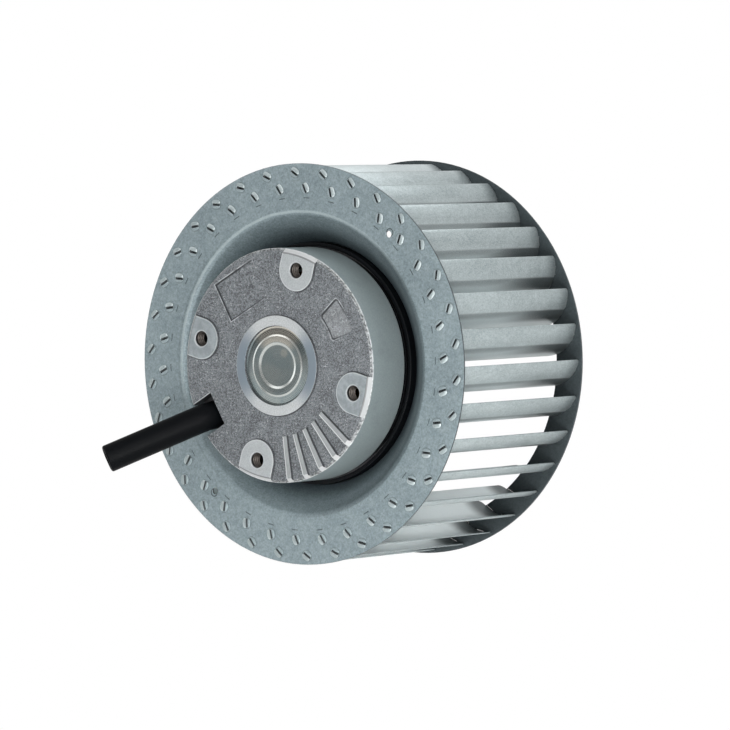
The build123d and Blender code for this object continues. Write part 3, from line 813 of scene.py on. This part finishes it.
def black_coating():
    """Black paint of the motor's cup, with a slight orange peel and painted highlights on its
    edges.
    """
    material, tree = new_material("black_coating", Specular_IOR_Level=0.1)
    place = object_place(tree)
    edge = use_group(tree, "soft_edge", {"Width": 0.6 * MM})
    dust = noise(place, 60.0, 4.0)
    colour = blend(dust, (0.0016, 0.002, 0.0026), (0.0036, 0.0044, 0.0054))
    # painted highlight on the edges
    colour = tint(colour, (0.04, 0.045, 0.05), edge.edge, 0.15)
    return dress(material, colour, between(dust, 0.3, 0.7, 0.34, 0.48), noise(place, 420.0, 2.0),
                 0.03 * MM, edge.normal)


def black_rubber(name, tone, rough):
    """Soft black sleeving or sheath."""
    material, tree = new_material(name, Specular_IOR_Level=0.05)
    place = object_place(tree)
    smear = noise(place, 70.0)
    colour = blend(smear, (tone, tone * 1.2, tone * 1.5), (tone * 1.6, tone * 2.0, tone * 2.5))
    return dress(material, colour, between(smear, 0.3, 0.7, rough, rough + 0.12),
                 noise(place, 1100.0), 0.03 * MM)


def plain_finish(name, dark, light, scale, metallic, rough):
    """Finish of a small or inner piece: two tones of grain with a little relief."""
    material, tree = new_material(name, Metallic=metallic)
    grain = noise(object_place(tree), scale)
    return dress(material, blend(grain, dark, light),
                 between(grain, 0.3, 0.7, rough, rough + 0.12), grain, 0.02 * MM)


def lined_finish(name, line_by, spacing, dark, light, rough, relief, **plain):
    """Finish in fine lines, by the radius or the depth about the spin axis."""
    material, tree = new_material(name, **plain)
    spot = use_group(tree, "axis_place")
    line = use_group(tree, "turned_lines", {"Radius": getattr(spot, line_by),
                                            "Spacing": spacing}).line
    return dress(material, blend(line, dark, light), between(line, 0.3, 0.7, *rough), line, relief)


def dress_solids(nodes):
    """Give each CAD solid that stays its material."""
    sheets = lined_finish("layered_steel", "depth", 0.5 * MM, (0.09, 0.09, 0.1),
                          (0.32, 0.32, 0.33), (0.42, 0.55), 0.12 * MM, Metallic=0.8)
    copper = lined_finish("wound_copper", "radius", 0.6 * MM, (0.2, 0.06, 0.02),
                          (0.78, 0.36, 0.16), (0.28, 0.4), 0.25 * MM,
                          Metallic=0.9, Coat_Weight=0.4)
    finishes = [
        (galvanised_disc(), ("backplate", "inlet_ring")),
        (cast_flange(), ("stator_flange",)),
        (black_coating(), ("rotor_shell", "rotor_cage")),
        (black_rubber("black_sleeve", 0.0017, 0.38), ("cable_sleeve",)),
        (black_rubber("black_cable", 0.0055, 0.46), ("supply_cable",)),
        (sheets, ("stator_core", "rotor_core")), (copper, ("stator_windings",))]
    for *values, names in PLAIN_FINISHES:
        finishes.append((plain_finish(*values), names))
    for finish, names in finishes:
        for name in names:
            solid = nodes[name]
            solid.data.materials.clear()
            solid.data.materials.append(finish)


def placed(name, data):
    """Object for a mesh, a light or a lens, in the scene."""
    thing = bpy.data.objects.new(name, data)
    bpy.context.scene.collection.objects.link(thing)
    return thing


def new_piece(name, mesh, body, material):
    """Object for a mesh, riding on a body, with its material."""
    piece = placed(name, mesh)
    if not mesh.materials:
        mesh.materials.append(material)
    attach(piece, body)
    return piece


def mesh_from(name, form):
    mesh = bpy.data.meshes.new(name)
    form.to_mesh(mesh)
    form.free()
    return mesh


def finish_mesh(name, form, thickness=0.0, rounding=0.0, offset=0.0):
    """Mesh from a bmesh, thickened, rounded at its edges and smoothed."""
    holder = placed(name, mesh_from(name, form))
    if thickness:
        solid = holder.modifiers.new("thick", "SOLIDIFY")
        solid.thickness = thickness
        solid.offset = offset
        solid.use_even_offset = True
    if rounding:
        bevel = holder.modifiers.new("round", "BEVEL")
        bevel.width = rounding
        bevel.segments = 2
        bevel.limit_method = "ANGLE"
        bevel.angle_limit = radians(40)
    held = bpy.context.evaluated_depsgraph_get()
    done = bpy.data.meshes.new_from_object(holder.evaluated_get(held))
    bpy.data.objects.remove(holder)
    done.name = name
    for face in done.polygons:
        face.use_smooth = True
    done.set_sharp_from_angle(angle=SHARP_ANGLE)
    return done


def bridge(form, rows):
    """Faces between neighbouring rows of points."""
    return [form.faces.new((first[left], first[left + 1], second[left + 1], second[left]))
            for first, second in zip(rows, rows[1:]) for left in range(len(first) - 1)]


def blade_arc():
    """Centre of the blade's arc in the front view, its middle direction and half its turn."""
    edge_in = Vector((BLADE_INNER * cos(radians(-BLADE_SWEEP)),
                      BLADE_INNER * sin(radians(-BLADE_SWEEP))))
    edge_out = Vector((BLADE_OUTER, 0))
    chord = edge_out - edge_in
    aim = atan2(chord.y, chord.x)
    half = asin(chord.length / 2 / BLADE_ARC)
    rise = BLADE_ARC * cos(half)
    centre = (edge_in + edge_out) / 2 + rise * Vector((-sin(aim), cos(aim)))
    return centre, aim - pi / 2, half


def corner_inset(distance, radius):
    """How far a rounded corner sets the end of the blade back, at a distance from its edge."""
    if distance >= radius:
        return 0.0
    return radius - sqrt(max(radius ** 2 - (radius - distance) ** 2, 0.0))


def blade_columns(length):
    """Distances along the blade from its inner edge, closer together at its corners."""
    inner = [INNER_CORNER * (1 - cos(radians(15 * step))) for step in range(6)]
    outer = [length - OUTER_CORNER * (1 - cos(radians(22.5 * step))) for step in range(4)]
    first, last = INNER_CORNER, length - OUTER_CORNER
    middle = [first + (last - first) * step / 14 for step in range(15)]
    return inner + middle + outer[::-1]


def add_blade_strip(form):
    """Curved strip of one blade between the discs, its four corners rounded."""
    centre, middle, half = blade_arc()
    length = 2 * half * BLADE_ARC
    rows = []
    for along in blade_columns(length):
        swing = middle - half + along / BLADE_ARC
        x = centre.x + BLADE_ARC * cos(swing)
        z = centre.y + BLADE_ARC * sin(swing)
        inset = corner_inset(along, INNER_CORNER) + corner_inset(length - along, OUTER_CORNER)
        rows.append([form.verts.new((x, DISC_BACK + inset, z)),
                     form.verts.new((x, RING_FRONT - inset, z))])
    bridge(form, rows)


def tab_place(radius):
    """Point of the blade line at a wheel radius, with its inward and convex directions."""
    centre, _, _ = blade_arc()
    reach = centre.length
    opening = acos((reach ** 2 + BLADE_ARC ** 2 - radius ** 2) / (2 * reach * BLADE_ARC))
    swing = atan2(-centre.y, -centre.x) + opening
    out = Vector((cos(swing), sin(swing)))
    return centre + BLADE_ARC * out, Vector((sin(swing), -cos(swing))), out


def full_round(angle):
    """Cosine and sine of an angle, drawn out towards the corners of a square."""
    return abs(cos(angle)) ** DOME_FULLNESS, copysign(abs(sin(angle)) ** DOME_FULLNESS, sin(angle))


def add_dome(form, middle, side, along, face, outward, size):
    """Closed half of a flat dome on a disc, cut straight across its middle."""
    reach, half, height = size
    turns = [radians(-90 + 22.5 * step) for step in range(9)]
    rings = []
    for rise in (0, 14, 32, 52, 72):
        ring = []
        share, lift = full_round(radians(rise))
        for turn in turns:
            out, aside = full_round(turn)
            flat = middle + side * (reach * share * out) + along * (half * share * aside)
            ring.append(form.verts.new((flat.x, face + outward * height * lift, flat.y)))
        rings.append(ring)
    sunk = face - outward * DOME_SINK
    foot = [form.verts.new((vert.co.x, sunk, vert.co.z)) for vert in rings[0]]
    rings.insert(0, foot)
    top = form.verts.new((middle.x, face + outward * height, middle.y))
    made = bridge(form, rings)
    made += [form.faces.new((left, right, top)) for left, right in zip(rings[-1], rings[-1][1:])]
    made.append(form.faces.new([ring[-1] for ring in rings] + [top]
                               + [ring[0] for ring in reversed(rings)]))
    made.append(form.faces.new(foot))
    bmesh.ops.recalc_face_normals(form, faces=made)


def add_box(form, middle, side, along, span, depths):
    """Small box in a slot, across a span to one side, between two depths."""
    near, far = span
    corners = []
    for depth in depths:
        for over, way in ((near, -1), (far, -1), (far, 1), (near, 1)):
            flat = middle + side * over + along * way * NECK_HALF
            corners.append(form.verts.new((flat.x, depth, flat.y)))
    loops = ((0, 1, 2, 3), (4, 5, 6, 7), (0, 1, 5, 4), (1, 2, 6, 5), (2, 3, 7, 6), (3, 0, 4, 7))
    made = [form.faces.new([corners[index] for index in loop]) for loop in loops]
    bmesh.ops.recalc_face_normals(form, faces=made)


def add_tab(form, radius, face, back, outward):
    """Folded tab: the dome it is pressed into and the stub of blade sheet in its slot."""
    spot, inward, convex = tab_place(radius)
    start = spot - convex * BLADE_SHEET / 2
    add_dome(form, start + convex * TAB_SHIFT, convex, inward, face, outward, TAB_DOME)
    add_box(form, start, convex, inward, (0, BLADE_SHEET), (face + outward * 0.1 * MM, back))


def add_lip(form, radius, face, outward, gap):
    """Lip of the disc pressed up on the open side of a slot."""
    spot, inward, convex = tab_place(radius)
    start = spot - convex * (BLADE_SHEET / 2 + gap)
    add_dome(form, start, -convex, inward, face, outward, LIP_DOME)


def add_slot_floor(form, radius):
    """Thin plate behind the open side of a front slot, painted black by the disc's material as
    shade in the slot.
    """
    spot, inward, convex = tab_place(radius)
    add_box(form, spot, convex, inward, SLOT_FLOOR_SPAN,
            (DISC_BACK - 0.15 * MM, DISC_BACK - 0.05 * MM))


def make_blade_mesh():
    """Strip and tabs of one blade as one mesh."""
    form = bmesh.new()
    add_blade_strip(form)
    strip = finish_mesh("blade_strip", form, BLADE_SHEET, 0.14 * MM)
    form = bmesh.new()
    for radius in TAB_RADII:
        add_tab(form, radius, DISC_FRONT, DISC_BACK, -1)
        add_tab(form, radius, RING_BACK, RING_FRONT, 1)
    tabs = finish_mesh("blade_tabs", form, 0.0, 0.1 * MM)
    form = bmesh.new()
    for part in (strip, tabs):
        form.from_mesh(part)
        bpy.data.meshes.remove(part)
    mesh = mesh_from("formed_blade", form)
    mesh.set_sharp_from_angle(angle=SHARP_ANGLE)
    return mesh


def blade_turns():
    """Turn about the spin axis of each blade."""
    return [-radians(BLADE_PHASE + 360 / BLADE_COUNT * number) for number in range(BLADE_COUNT)]


def make_lips(name, face, outward, gap, material):
    """Pressed lips beside all the slots of one disc."""
    form = bmesh.new()
    for radius in TAB_RADII:
        add_lip(form, radius, face, outward, gap)
        if outward < 0:
            add_slot_floor(form, radius)
    single = finish_mesh("single_lips", form, 0.0, 0.08 * MM)
    form = bmesh.new()
    for turn in blade_turns():
        before = len(form.verts)
        form.from_mesh(single)
        form.verts.ensure_lookup_table()
        bmesh.ops.rotate(form, verts=form.verts[before:], cent=(0, 0, 0),
                         matrix=Matrix.Rotation(turn, 3, "Y"))
    mesh = mesh_from(name, form)
    bpy.data.meshes.remove(single)
    mesh.set_sharp_from_angle(angle=SHARP_ANGLE)
    new_piece(name, mesh, "fan_wheel", material)


def make_blades(material):
    """One formed blade in each place of the wheel."""
    mesh = make_blade_mesh()
    for number, turn in enumerate(blade_turns()):
        piece = new_piece(f"formed_blade_{number + 1:02d}", mesh, "fan_wheel", material)
        piece.matrix_world = Matrix.Rotation(turn, 4, "Y")
        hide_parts(f"blade_{number + 1:02d}")


def rounded_line(points, radii):
    """Line through (radius, depth) points in millimetres, with its corners rounded."""
    line = [Vector(points[0])]
    for before, corner, after, radius in zip(points, points[1:], points[2:], radii):
        corner = Vector(corner)
        back = (Vector(before) - corner).normalized()
        ahead = (Vector(after) - corner).normalized()
        half = acos(max(-1.0, min(1.0, back.dot(ahead)))) / 2
        reach = radius / max(sin(half) / cos(half), 1e-6)
        start, end = corner + back * reach, corner + ahead * reach
        for step in range(CORNER_STEPS + 1):
            share = step / CORNER_STEPS
            line.append(start * (1 - share) ** 2 + corner * 2 * share * (1 - share)
                        + end * share ** 2)
    line.append(Vector(points[-1]))
    return line


def spun(line, steps):
    """Surface spun round the axis from (radius, depth) points in millimetres."""
    form = bmesh.new()
    rings = []
    for spot in line:
        if spot.x < 1e-6:
            rings.append([form.verts.new((0, spot.y * MM, 0))])
            continue
        rings.append([form.verts.new((spot.x * MM * cos(2 * pi * step / steps), spot.y * MM,
                                      spot.x * MM * sin(2 * pi * step / steps)))
                      for step in range(steps)])
    for first, second in zip(rings, rings[1:]):
        for step in range(steps):
            after = (step + 1) % steps
            if len(first) == 1:
                form.faces.new((first[0], second[step], second[after]))
            else:
                form.faces.new((first[step], second[step], second[after], first[after]))
    bmesh.ops.recalc_face_normals(form, faces=form.faces)
    return form


def make_cap(material):
    """Pressed cap: dished centre, raised ring that falls off outwards, rim in the boss."""
    form = spun(rounded_line(CAP_LINE, CAP_CORNERS), CAP_STEPS)
    mesh = finish_mesh("pressed_cap", form, CAP_SHEET, offset=-1.0)
    piece = new_piece("pressed_cap", mesh, "motor_stator", material)
    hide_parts("bearing_cap")


def make_thread(number, material):
    """Screw thread on the wall of one flange hole."""
    form = bmesh.new()
    angle = radians(BOLT_ANGLE + 90 * number)
    centre = Vector((BOLT_RADIUS * cos(angle), 0, BOLT_RADIUS * sin(angle)))
    root, crest = HOLE_RADIUS + 0.02 * MM, HOLE_RADIUS - 0.36 * MM
    rows = []
    for step in range(THREAD_TURNS * THREAD_STEPS + 1):
        swing = 2 * pi * step / THREAD_STEPS
        depth = THREAD_START + THREAD_PITCH * step / THREAD_STEPS
        row = []
        for out, shift in ((root, -0.34), (crest, -0.06), (crest, 0.06), (root, 0.34)):
            row.append(form.verts.new(centre + Vector((out * cos(swing), (depth + shift) * MM,
                                                       out * sin(swing)))))
        rows.append(row)
    bridge(form, rows)
    bmesh.ops.recalc_face_normals(form, faces=form.faces)
    name = f"screw_thread_{number + 1}"
    new_piece(name, finish_mesh(name, form), "motor_stator", material)


def make_floor():
    """Round pale floor that fades to white away from the fan."""
    form = bmesh.new()
    bmesh.ops.create_circle(form, cap_ends=True, segments=96, radius=4.0,
                            matrix=Matrix.Translation((0, 0, -0.25)))
    mesh = mesh_from("floor", form)
    floor = placed("floor", mesh)
    material = bpy.data.materials.new("pale_floor")
    material.use_nodes = True
    tree = material.node_tree
    tree.nodes.remove(tree.nodes["Principled BSDF"])
    far = vector_calc("LENGTH", object_place(tree))
    ray = new_node(tree, "ShaderNodeLightPath").outputs
    seen = larger(Value(ray["Is Camera Ray"]), Value(ray["Is Glossy Ray"]))
    matt = output(tree, "ShaderNodeBsdfDiffuse", {"Color": (0.86, 0.86, 0.85, 1)})
    white = output(tree, "ShaderNodeEmission")
    mixed = output(tree, "ShaderNodeMixShader",
                   {0: seen * between(far, 0.38, 0.66), 1: matt, 2: white})
    fill_inputs(tree.nodes["Material Output"], {"Surface": mixed})
    mesh.materials.append(material)


def make_world():
    """White surroundings as the camera sees them; as a light, dimmer towards the front left."""
    world = bpy.data.worlds.new("studio")
    bpy.context.scene.world = world
    world.use_nodes = True
    tree = world.node_tree
    ray = new_node(tree, "ShaderNodeLightPath").outputs
    aim = output(tree, "ShaderNodeTexCoord", pick="Generated")
    front_left = vector_calc("DOT_PRODUCT", aim, (-0.6, -0.79, -0.12))
    window = vector_calc("DOT_PRODUCT", aim, (-0.95, -0.3, 0.07))
    up = parts_of(aim)[2]
    level = (between(front_left, 0.62, 0.975, 0.6, 0.14)
             + between(window, 0.955, 0.985, 0.0, 1.6) + between(up, -0.3, -0.9, 0.0, 0.08))
    seen = larger(Value(ray["Is Camera Ray"]), Value(ray["Is Transmission Ray"]))
    fill_inputs(tree.nodes["Background"], {"Color": (1, 1, 1, 1),
                                           "Strength": seen + (1.0 - seen) * level})


def make_light(name, spot, aim, size, power):
    """Square soft light at a spot, turned towards a point."""
    lamp = bpy.data.lights.new(name, "AREA")
    lamp.size = size
    lamp.energy = power
    holder = placed(name, lamp)
    holder.location = spot
    holder.rotation_euler = (Vector(aim) - Vector(spot)).to_track_quat("-Z", "Y").to_euler()


def make_camera():
    """Long lens at the photograph's viewpoint."""
    around, above, tilt = [radians(angle) for angle in CAMERA_ANGLES]
    back = Vector((sin(around) * cos(above), -cos(around) * cos(above), sin(above)))
    level = Vector((cos(around), sin(around), 0))
    upright = back.cross(level)
    right = cos(tilt) * level + sin(tilt) * upright
    up = cos(tilt) * upright - sin(tilt) * level
    spot = 2.41063 * back + 0.028774 * right - 0.000352 * up + Vector((0, 0.018, 0))
    lens = bpy.data.cameras.new("camera")
    lens.sensor_width = FILM_WIDTH
    lens.lens = CAMERA_FOCUS / PHOTO_WIDTH * FILM_WIDTH
    lens.clip_end = 20
    camera = placed("camera", lens)
    turned = Matrix((right, up, back)).transposed().to_4x4()
    camera.matrix_world = Matrix.Translation(spot) @ turned
    bpy.context.scene.camera = camera


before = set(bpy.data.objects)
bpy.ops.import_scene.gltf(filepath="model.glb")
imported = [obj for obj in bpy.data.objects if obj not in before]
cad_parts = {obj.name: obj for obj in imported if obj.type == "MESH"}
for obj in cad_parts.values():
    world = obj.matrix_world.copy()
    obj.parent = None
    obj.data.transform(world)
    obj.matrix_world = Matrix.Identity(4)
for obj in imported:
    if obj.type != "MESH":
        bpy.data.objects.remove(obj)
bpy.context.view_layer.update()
bpy.context.scene.view_settings.view_transform = "Standard"
make_groups()
make_camera()
make_world()
make_floor()
for light in LIGHTS:
    make_light(*light)
dress_solids(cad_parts)
make_blades(galvanised_blade())
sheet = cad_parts["backplate"].data.materials[0]
make_lips("slot_lips_backplate", DISC_FRONT, -1, FRONT_LIP_GAP, sheet)
make_lips("slot_lips_inlet_ring", RING_BACK, 1, REAR_LIP_GAP, sheet)
make_cap(zinc_cap())
# painted shade: threads kept dark, as they lie inside the holes
thread_in_shade = plain_finish("cut_thread", (0.01, 0.008, 0.007), (0.1, 0.087, 0.077), 1300,
                             0.7, 0.35)
for hole in range(4):
    make_thread(hole, thread_in_shade)


def corners(box):
    return [[float(value) for value in corner] for corner in box]
